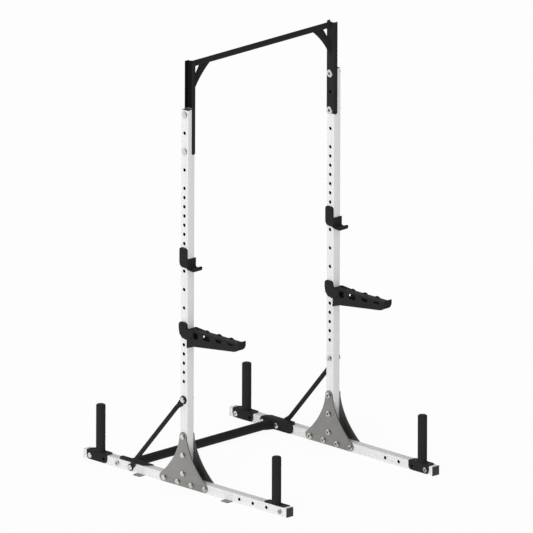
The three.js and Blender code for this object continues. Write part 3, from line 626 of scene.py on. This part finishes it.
def end_cap(side, place):
    node = f"{side}_{place}_cap"
    low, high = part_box(node)
    outward, face, plug_end = (-1, low.y, high.y) if place == "front" else (1, high.y, low.y)
    middle = ((low.x + high.x) / 2, (low.z + high.z) / 2)
    half = (high.x - low.x) / 2
    rings = []
    for depth, inset, corner in CAP_RINGS:
        along = plug_end if depth is None else face - outward * depth * MM
        rings.append(square_ring("Y", along, middle, half - inset * MM, corner * MM))
    dress(shade(loft(node + "_moulding", rings), angle=30), node, PLASTIC)


# ---- Gusset plates
GUSSET_NOSE = 25.4 * MM
GUSSET_CORNER = 25 * MM
# The flanks' curve: its upper and lower handle, as shares of the half width and of the height,
# and its upper end, as a share of the height
GUSSET_WAIST = ((0.215, 0.64), (0.48, 0.387))
GUSSET_SHOULDER = 0.893
NOSE_STEPS = 24
FLANK_STEPS = 24
TUBE_SIDE_SKIN = 0.15 * MM


def gusset(side, face):
    node = f"{side}_{face}_gusset"
    low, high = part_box(node)
    upright_low, upright_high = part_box(f"{side}_upright")
    middle = (upright_low.y + upright_high.y) / 2
    nose = high.z - GUSSET_NOSE
    rear, front = high.y - GUSSET_CORNER, low.y + GUSSET_CORNER
    corner_z = low.z + GUSSET_CORNER
    rise = GUSSET_CORNER * math.sqrt(0.5)
    shoulder = GUSSET_SHOULDER * high.z
    upper, lower = GUSSET_WAIST
    eighth = math.pi / 4

    def flank(share, edge):
        return (middle + share[0] * (edge - middle), share[1] * high.z)

    outline = arc((rear, corner_z), GUSSET_CORNER, -2 * eighth, eighth, 2 * CORNER_STEPS)
    outline += bezier([
        (rear + rise, corner_z + rise), flank(lower, high.y), flank(upper, high.y),
        (middle + GUSSET_NOSE, shoulder),
    ], FLANK_STEPS)
    outline += arc((middle, nose), GUSSET_NOSE, 0, math.pi, NOSE_STEPS)
    outline += bezier([
        (middle - GUSSET_NOSE, shoulder), flank(upper, low.y), flank(lower, low.y),
        (front - rise, corner_z + rise),
    ], FLANK_STEPS)
    outline += arc((front, corner_z), GUSSET_CORNER, 3 * eighth, 6 * eighth, 2 * CORNER_STEPS)
    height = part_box(f"{side}_runner")[1].z / 2
    holes = [(middle, bore_height(upright_low, step), BORE / 2) for step in (0, 2, 4)]
    holes += [(step * PITCH, height, BORE / 2) for step in (-3, -1, 1, 3)]
    dress(plate(node + "_plate", outline, holes, low.x, high.x), node, STEEL)
    # On the side towards the tube, a dark skin of painted shade, where the other plate shades it
    if high.x < (upright_low.x + upright_high.x) / 2:
        skin = (high.x - 2 * EDGE, high.x + TUBE_SIDE_SKIN)
    else:
        skin = (low.x - TUBE_SIDE_SKIN, low.x + 2 * EDGE)
    dress(plate(node + "_tube_side", outline, holes, *skin), node, TUBE_SIDE)


# ---- Bolts
Head = namedtuple("Head", "diameter flat height rim socket_flats socket_depth")
HEADS = {
    style: Head(*(size * MM for size in sizes))
    for style, sizes in {
        "domed": (32, 9, 9, 3, 0, 0),
        "domed_socket": (32, 18, 9, 3, 13, 5),
        "small": (29, 14, 6, 2, 0, 0),
        "small_socket": (29, 14, 6, 2, 10, 3),
        "broad": (40, 16, 8, 3, 0, 0),
        "broad_socket": (42, 26, 8, 4, 15, 6),
    }.items()
}
# The photograph shows plain heads on the left stand and socket heads on the right one
HEAD_END = {"left": "", "right": "_socket"}
HEAD_STEPS = 10
HEAD_CHAMFER = 0.5 * MM
HEAD_EDGE = 0.3 * MM
SOCKET_SHADE_DEPTH = 0.8 * MM
BOLT = 15.9 * MM
BOLT_TAIL = 20.5 * MM
# Degrees: each bolt is turned by 0 to 9 times this about its own axis
BOLT_SPIN = 37
WASHER = 34 * MM
WASHER_THICKNESS = 3 * MM
WASHER_CHAMFER = 0.4 * MM
NUT_FLATS = 24 * MM
NUT_HEIGHT = 10 * MM
NUT_CHAMFER_ANGLE = math.radians(30)
STUD_BEYOND = 3 * MM
STUD_CHAMFER = 0.8 * MM
THREAD = 1.6 * MM
THREAD_DEPTH = 0.7 * MM


def hex_prism(name, flats, low, high):
    radius = flats / math.sqrt(3)
    hexagon = [
        (radius * math.cos(k * math.pi / 3), radius * math.sin(k * math.pi / 3)) for k in range(6)
    ]
    return loft(name, [[Vector((x, y, z)) for y, z in hexagon] for x in (low, high)])


def bolt_head(head):
    """A bolt head with its seat at x = 0 and its face towards -x."""
    dome = []
    for k in range(HEAD_STEPS + 1):
        turn = k * math.pi / (2 * HEAD_STEPS)
        dome.append((
            (head.flat + (head.diameter - head.flat) * math.sin(turn)) / 2,
            -head.rim - (head.height - head.rim) * math.cos(turn),
        ))
    radius = head.diameter / 2
    turned = lathe("head", [
        (0, -head.height), *dome, (radius, -HEAD_CHAMFER), (radius - HEAD_CHAMFER, 0), (0, 0),
    ], "X")
    if head.socket_depth:
        bottom = -head.height + head.socket_depth
        socket = hex_prism("socket", head.socket_flats, -head.height - MM, bottom)
        combine(turned, socket, "DIFFERENCE")
    return rounded_edges(turned, HEAD_EDGE, angle=60, segments=1)


def nut_end(tail):
    """Washer, nut and threaded tail, from the plate's face at x = 0 towards +x."""
    rim = WASHER / 2 - WASHER_CHAMFER
    washer = lathe("washer", [
        (BOLT / 2, 0), (rim, 0), (WASHER / 2, WASHER_CHAMFER),
        (WASHER / 2, WASHER_THICKNESS - WASHER_CHAMFER), (rim, WASHER_THICKNESS),
        (BOLT / 2, WASHER_THICKNESS),
    ], "X")
    start, end = WASHER_THICKNESS, WASHER_THICKNESS + NUT_HEIGHT
    flat, point = NUT_FLATS / 2, NUT_FLATS / math.sqrt(3)
    rise = (point - flat) * math.tan(NUT_CHAMFER_ANGLE)
    cone = lathe("cone", [
        (0, start - MM), (flat, start), (point + MM, start + rise + MM),
        (point + MM, end - rise - MM), (flat, end), (0, end + MM),
    ], "X")
    nut = shade(combine(hex_prism("nut", NUT_FLATS, start, end), cone, "INTERSECT"), angle=25)
    profile = [(0, 0)]
    x = 0.0
    root = BOLT / 2 - THREAD_DEPTH
    while x < tail - THREAD:
        profile += [(root, x), (BOLT / 2, x + THREAD / 2)]
        x += THREAD
    profile += [(root, tail - MM), (root - STUD_CHAMFER, tail), (0, tail)]
    stud = shade(lathe("stud", profile, "X", facets=SMALL_FACETS), angle=60)
    return joined("nut_end", [washer, nut, stud])


HEAD_PIECES = {style: bolt_head(head) for style, head in HEADS.items()}
NUT_PIECE = nut_end(WASHER_THICKNESS + NUT_HEIGHT + STUD_BEYOND)


def bolt(node, head_side, style):
    """A bolt along X with its head at the low end (head_side -1) or at the high end (1)."""
    low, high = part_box(node)
    centre = middle_yz(low, high)
    head = HEADS[style]
    if head_side < 0:
        head_x, nut_x, half_turn = low.x + head.height, high.x - BOLT_TAIL, 0
    else:
        head_x, nut_x, half_turn = high.x - head.height, low.x + BOLT_TAIL, math.pi
    turn = Matrix.Rotation(half_turn, 4, "Z")
    # The name chooses the turn, so that no two neighbours stand alike
    spin = Matrix.Rotation(math.radians(BOLT_SPIN * (sum(map(ord, node)) % 10)), 4, "X")
    parts = []
    for source, x in ((HEAD_PIECES[style], head_x), (NUT_PIECE, nut_x)):
        part = add_object("part", source.data.copy())
        part.matrix_world = Matrix.Translation((x, *centre)) @ turn @ spin
        parts.append(part)
    shank = sorted((head_x, nut_x))
    parts.append(rod("shank", BOLT, *shank, "X", centre, SMALL_FACETS))
    bpy.context.view_layer.update()
    dress(shade(joined(node + "_set", parts), angle=40), node, ZINC)
    # A dark hex of painted shade on the socket's floor
    if head.socket_depth:
        top = -head.height + head.socket_depth - SLEEVE_GAP
        flats = head.socket_flats - 2 * SLEEVE_GAP
        socket_shade = hex_prism("socket_shade", flats, top - SOCKET_SHADE_DEPTH, top)
        socket_shade.matrix_world = Matrix.Translation((head_x, *centre)) @ turn @ spin
        bpy.context.view_layer.update()
        dress(shade(joined(node + "_socket", [socket_shade]), angle=40), node, SOCKET)


# ---- Round tubes, pegs and pins
PEG_RADIUS = 25 * MM
PEG_CROWN = 7 * MM
CROWN_STEPS = 10
PEG_PLATE = 4 * MM
PEG_WELD_RADIUS = 2.4 * MM
POST_SKIN = 0.15 * MM
PIN_HEAD = 2.5 * MM
PIN_RIM = 0.3 * MM
PIN_CHAMFER = 2 * MM
# The pin head's dome: share of its radius and depth in mm
PIN_DOME = ((0.35, 0.1), (0.78, 0.5), (1, 1.3))


def round_tube(node):
    """A round tube along X with a weld bead at each end."""
    low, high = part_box(node)
    centre = middle_yz(low, high)
    radius = (high.y - low.y) / 2
    inner = radius - WALL
    profile = [(radius, low.x), (radius, high.x), (inner, high.x), (inner, low.x)]
    dress(shade(lathe(node + "_pipe", profile, "X", centre, ROUND), angle=50), node, BLACK)
    for label, x in (("left", low.x + WELD_INSET), ("right", high.x - WELD_INSET)):
        path = [(x, y, z) for y, z in circle(centre, radius, ROUND)]
        dress(bead(f"{node}_{label}_weld", path, WELD_RADIUS), node, BLACK)


def peg(node):
    """A peg: its bracket as in the CAD, and a post with a rounded top and a weld bead."""
    low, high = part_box(node)
    side = node.split("_")[0]
    upright_low, upright_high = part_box(f"{side}_upright")
    centre = ((upright_low.x + upright_high.x) / 2, (low.y + high.y) / 2)
    dress(softened(node), node, BLACK)
    plate_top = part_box(f"{side}_runner")[1].z + PEG_PLATE
    crown_centre = (PEG_RADIUS - PEG_CROWN, high.z - PEG_CROWN)
    crown = arc(crown_centre, PEG_CROWN, 0, math.pi / 2, CROWN_STEPS)
    profile = [(0, plate_top), (PEG_RADIUS, plate_top), *crown, (0, high.z)]
    grown = [(r + POST_SKIN if r > 0 else r, z + POST_SKIN) for r, z in profile]
    dress(shade(lathe(node + "_post", grown, "Z", centre, ROUND), angle=30), node, BLACK)
    path = [(x, y, plate_top + WELD_INSET) for x, y in circle(centre, PEG_RADIUS, ROUND)]
    dress(bead(node + "_weld", path, PEG_WELD_RADIUS), node, BLACK)


def hitch_pin(node):
    low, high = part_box(node)
    shank, head = BOLT / 2, (high.y - low.y) / 2
    seat = low.x + PIN_HEAD
    profile = [
        (0, low.x), *((share * head, low.x + depth * MM) for share, depth in PIN_DOME),
        (head, seat - PIN_RIM), (head - PIN_RIM, seat), (shank, seat),
        (shank, high.x - PIN_CHAMFER), (shank - PIN_CHAMFER, high.x), (0, high.x),
    ]
    turned = lathe(node + "_turned", profile, "X", middle_yz(low, high))
    dress(shade(turned, angle=35), node, BLACK)


# ---- J-hooks and spotter arms
HOOK_STEP = 24
HOOK_LIP = 6.4 * MM
HOOK_LIP_HEIGHT = 20 * MM
HOOK_LIP_DROP = 69.5 * MM
HOOK_LIP_CORNER = 7.5 * MM
ARM_STEP = 16
ARM_SHEET = 5 * MM
ARM_NOSE_DROP = 43.5 * MM
ARM_NOSE_CORNER = 24 * MM
ARM_TOP_DROP = 11 * MM
# The strip that raises the sill of the far wall's second window: reach before the upright and
# drop below the hinge, at its two ends
ARM_SILL = ((118 * MM, 44 * MM), (176 * MM, 39 * MM))
RUNNING_GAP = 0.3 * MM
SKIN = 0.1 * MM


def j_hook(side):
    """The hook as in the CAD, with a small corner at the free end of its lip."""
    node = f"{side}_j_hook"
    low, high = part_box(node)
    top = bore_height(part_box(f"{side}_upright")[0], HOOK_STEP) - HOOK_LIP_DROP
    lip = upright_panel(
        "lip", Vector((low.x, low.y - SKIN, top - HOOK_LIP_HEIGHT)),
        Vector((high.x, low.y - SKIN + HOOK_LIP, top)), (0, HOOK_LIP_CORNER, HOOK_LIP_CORNER, 0),
    )
    dress(softened(node, lip), node, BLACK)


def spotter_arm(side):
    """The arm as in the CAD, with a smaller corner at its nose and one window's sill raised."""
    node = f"{side}_spotter_arm"
    low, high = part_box(node)
    upright_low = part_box(f"{side}_upright")[0]
    hinge = bore_height(upright_low, ARM_STEP)
    outer = upright_low.x - RUNNING_GAP - ARM_SHEET
    nose = upright_panel(
        "nose", Vector((outer, low.y - SKIN, hinge - ARM_NOSE_DROP)),
        Vector((high.x, low.y + ARM_SHEET + SKIN, hinge - ARM_TOP_DROP)),
        (0, ARM_NOSE_CORNER, 0, 0),
    )
    front = upright_low.y - RUNNING_GAP
    (near_reach, deep), (far_reach, shallow) = ARM_SILL
    sill = upright_panel(
        "sill", Vector((high.x - ARM_SHEET, front - far_reach, hinge - deep)),
        Vector((high.x, front - near_reach, hinge - shallow)), (0, 0, 0, 0),
    )
    dress(softened(node, nose, sill), node, BLACK)


# ---- Braces
BRACE_EYE = 45 * MM
BRACE_SHEET = 6 * MM
BRACE_STEM = 24.4 * MM
BRACE_PRESSED = 58 * MM
BRACE_OFFSET = 12.4 * MM


def brace(side):
    """The brace as in the CAD, with a thicker stem and a broader upper eye."""
    node = f"{side}_brace"
    low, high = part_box(node)
    outward = OUTWARD[side]
    wall = low.x if outward > 0 else high.x
    ends = []
    for place in ("low", "high"):
        y, z = middle_yz(*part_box(f"{node}_bolt_{place}"))
        ends.append(Vector((wall + outward * BRACE_OFFSET, y, z)))
    faces = sorted((wall, wall + outward * BRACE_SHEET))
    eye = rod("eye", BRACE_EYE, *faces, "X", (ends[1].y, ends[1].z), ROUND)
    run = ends[1] - ends[0]
    far_end = run.length - BRACE_PRESSED
    stem = rod("stem", BRACE_STEM, BRACE_PRESSED, far_end, "Z", facets=TURNED_FACETS)
    lean = run.to_track_quat("Z", "Y").to_matrix().to_4x4()
    stem.matrix_world = Matrix.Translation(ends[0]) @ lean
    bpy.context.view_layer.update()
    dress(softened(node, eye, stem, width=FINE_EDGE), node, BLACK)


# ---- Masts
MAST_LIP = 1.5 * MM
MAST_LINING = 0.25 * MM
MAST_GAP = 0.4 * MM


def mast(side):
    """The mast as in the CAD, and a dark lining of painted shade inside its channel above the
    upright.
    """
    node = f"{side}_mast"
    dress(softened(node), node, BLACK)
    low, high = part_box(node)
    upright_low, upright_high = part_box(f"{side}_upright")
    if OUTWARD[side] < 0:
        free, wall = low.x + MAST_LIP, upright_high.x
    else:
        free, wall = high.x - MAST_LIP, upright_low.x
    inner = wall + OUTWARD[side] * MAST_LINING
    front, rear = upright_low.y - MAST_GAP, upright_high.y + MAST_GAP
    near, far = front + MAST_LINING, rear - MAST_LINING
    section = [
        (free, front), (wall, front), (wall, rear), (free, rear),
        (free, far), (inner, far), (inner, near), (free, near),
    ]
    ends = (upright_high.z + MM, high.z - MAST_LIP)
    lining = loft(node + "_lining", [[Vector((x, y, z)) for x, y in section] for z in ends])
    dress(shade(lining, angle=30), node, SHADED)


# ---- Everything
for side in SIDES:
    runner(side)
    upright(side)
    end_cap(side, "front")
    end_cap(side, "rear")
    gusset(side, "outer")
    gusset(side, "inner")
    domed, small, broad = (style + HEAD_END[side] for style in ("domed", "small", "broad"))
    for number in range(1, 8):
        bolt(f"{side}_gusset_bolt_{number}", -1, domed)
    bolt(f"{side}_brace_bolt_low", -1, small)
    bolt(f"{side}_brace_bolt_high", OUTWARD[side], domed)
    bolt(f"{side}_cross_bolt", -1, "domed_socket")
    bolt(f"{side}_mast_bolt_1", -1, broad)
    bolt(f"{side}_mast_bolt_2", -1, broad)
    for place in ("front", "rear"):
        peg(f"{side}_{place}_peg")
        bolt(f"{side}_{place}_peg_bolt", -1, small)
    hitch_pin(f"{side}_j_hook_pin")
    hitch_pin(f"{side}_spotter_pin")
    brace(side)
    j_hook(side)
    spotter_arm(side)
    mast(side)
    bracket = f"{side}_cross_bracket"
    dress(softened(bracket), bracket, BLACK)
round_tube("crossmember_tube")
round_tube("pull_up_bar")
for template in (*HEAD_PIECES.values(), NUT_PIECE):
    bpy.data.objects.remove(template)


# ---- Floor and light
FLOOR_REACH = 60.0
FLOOR_DROP = 0.2 * MM
FLOOR_GLOW = 1.03
# The glow's share in the floor: for all rays, and what is added where it is seen directly
GLOW_SHARE, GLOW_SHARE_SEEN = 0.25, 0.65
# What mirrored rays find, from the front to the back: start, end, strength there and there.
# Bolts get their dark sides from it.
FLOOR_MIRRORED = (-0.4, 0.3, 0.4, 1.0)
WALLS_MIRRORED = (-0.2, 0.55, 0.08, 1.0)
# The studio's walls are brighter than its ceiling
FILL = (0.0, 1.0, 0.76, 0.38)


def math_node(nodes, links, operation, *values):
    node = nodes.new("ShaderNodeMath")
    node.operation = operation
    for socket, value in zip(node.inputs, values):
        if isinstance(value, (int, float)):
            socket.default_value = value
        else:
            links.new(value, socket)
    return node.outputs[0]


def split_coordinates(nodes, links, kind):
    source = nodes.new("ShaderNodeTexCoord")
    split = nodes.new("ShaderNodeSeparateXYZ")
    links.new(source.outputs[kind], split.inputs[0])
    return split.outputs


def seen_directly(nodes, links):
    """1 for the rays that show the background: camera, transmission and glossy rays."""
    kinds = nodes.new("ShaderNodeLightPath").outputs
    direct = math_node(
        nodes, links, "MAXIMUM", kinds["Is Camera Ray"], kinds["Is Transmission Ray"],
    )
    return math_node(nodes, links, "MAXIMUM", direct, kinds["Is Glossy Ray"])


def mirrored_strength(nodes, links, brightness, mirrored):
    """Full brightness, but for glossy rays what mirrored says."""
    glossy = nodes.new("ShaderNodeLightPath").outputs["Is Glossy Ray"]
    less = math_node(nodes, links, "SUBTRACT", mirrored, brightness)
    return math_node(nodes, links, "MULTIPLY_ADD", less, glossy, brightness)


def mix_shaders(nodes, links, amount, first, second, output):
    mix = nodes.new("ShaderNodeMixShader")
    for socket, source in zip(mix.inputs, (amount, first.outputs[0], second.outputs[0])):
        links.new(source, socket)
    links.new(mix.outputs[0], output.inputs["Surface"])


def make_floor():
    """A pale floor. To the camera it is nearly white, with a faint shadow of the rack."""
    bm = bmesh.new()
    corners = ((-1, -1), (1, -1), (1, 1), (-1, 1))
    bm.faces.new([bm.verts.new((x * FLOOR_REACH, y * FLOOR_REACH, 0)) for x, y in corners])
    floor = from_bmesh("floor", bm)
    floor.location.z = -FLOOR_DROP
    material, nodes, links, shader = new_material("floor_white")
    shader.inputs["Base Color"].default_value = (0.96, 0.96, 0.96, 1)
    shader.inputs["Roughness"].default_value = 0.9
    shader.inputs["Specular IOR Level"].default_value = 0.1
    glow = nodes.new("ShaderNodeEmission")
    glow.inputs["Color"].default_value = (1, 1, 1, 1)
    place = split_coordinates(nodes, links, "Object")
    near = ramp(nodes, links, place["Y"], *FLOOR_MIRRORED)
    links.new(mirrored_strength(nodes, links, FLOOR_GLOW, near), glow.inputs["Strength"])
    seen = seen_directly(nodes, links)
    share = math_node(nodes, links, "MULTIPLY_ADD", seen, GLOW_SHARE_SEEN, GLOW_SHARE)
    mix_shaders(nodes, links, share, shader, glow, nodes["Material Output"])
    floor.data.materials.append(material)


def make_world():
    """A soft grey fill on the rack, and a white background."""
    world = bpy.data.worlds.new("studio")
    bpy.context.scene.world = world
    world.use_nodes = True
    nodes, links = world.node_tree.nodes, world.node_tree.links
    fill = nodes["Background"]
    white = nodes.new("ShaderNodeBackground")
    for background in (fill, white):
        background.inputs["Color"].default_value = (1, 1, 1, 1)
    direction = split_coordinates(nodes, links, "Generated")
    links.new(ramp(nodes, links, direction["Z"], *FILL), fill.inputs["Strength"])
    behind = ramp(nodes, links, direction["Y"], *WALLS_MIRRORED)
    links.new(mirrored_strength(nodes, links, 1.0, behind), white.inputs["Strength"])
    mix_shaders(nodes, links, seen_directly(nodes, links), fill, white, nodes["World Output"])


def make_lamp(name, toward, strength, angle):
    """A distant soft lamp that shines along a direction. It isn't mirrored in the rack."""
    lamp = bpy.data.lights.new(name, "SUN")
    lamp.energy = strength
    lamp.angle = math.radians(angle)
    obj = add_object(name, lamp)
    obj.rotation_euler = Vector(toward).to_track_quat("-Z", "Y").to_euler()
    obj.visible_glossy = False


make_floor()
make_world()
make_lamp("left_soft_light", toward=(1.42, 0.54, -0.2), strength=1.53, angle=30)


# ---- Camera: the photograph's frame width in metres, its centre's place and the view direction
VIEW_WIDTH = 2.8158
VIEW_TARGET = Vector((0.0324, 0.0, 1.0951))
VIEW_AZIMUTH = math.radians(-44.72)
VIEW_ELEVATION = math.radians(16.95)
VIEW_ROLL = math.radians(0.19)
STAND_OFF = 8.0
camera = bpy.data.cameras.new("camera")
camera.type = "ORTHO"
camera.ortho_scale = VIEW_WIDTH
camera.clip_start = 0.1
camera.clip_end = 100.0
away = Vector((
    math.sin(VIEW_AZIMUTH) * math.cos(VIEW_ELEVATION),
    -math.cos(VIEW_AZIMUTH) * math.cos(VIEW_ELEVATION),
    math.sin(VIEW_ELEVATION),
))
eye = add_object("camera", camera)
eye.location = VIEW_TARGET + STAND_OFF * away
aim = (-away).to_track_quat("-Z", "Y").to_matrix() @ Matrix.Rotation(VIEW_ROLL, 3, "Z")
eye.rotation_euler = aim.to_euler()
bpy.context.scene.camera = eye
bpy.context.scene.view_settings.view_transform = "Standard"
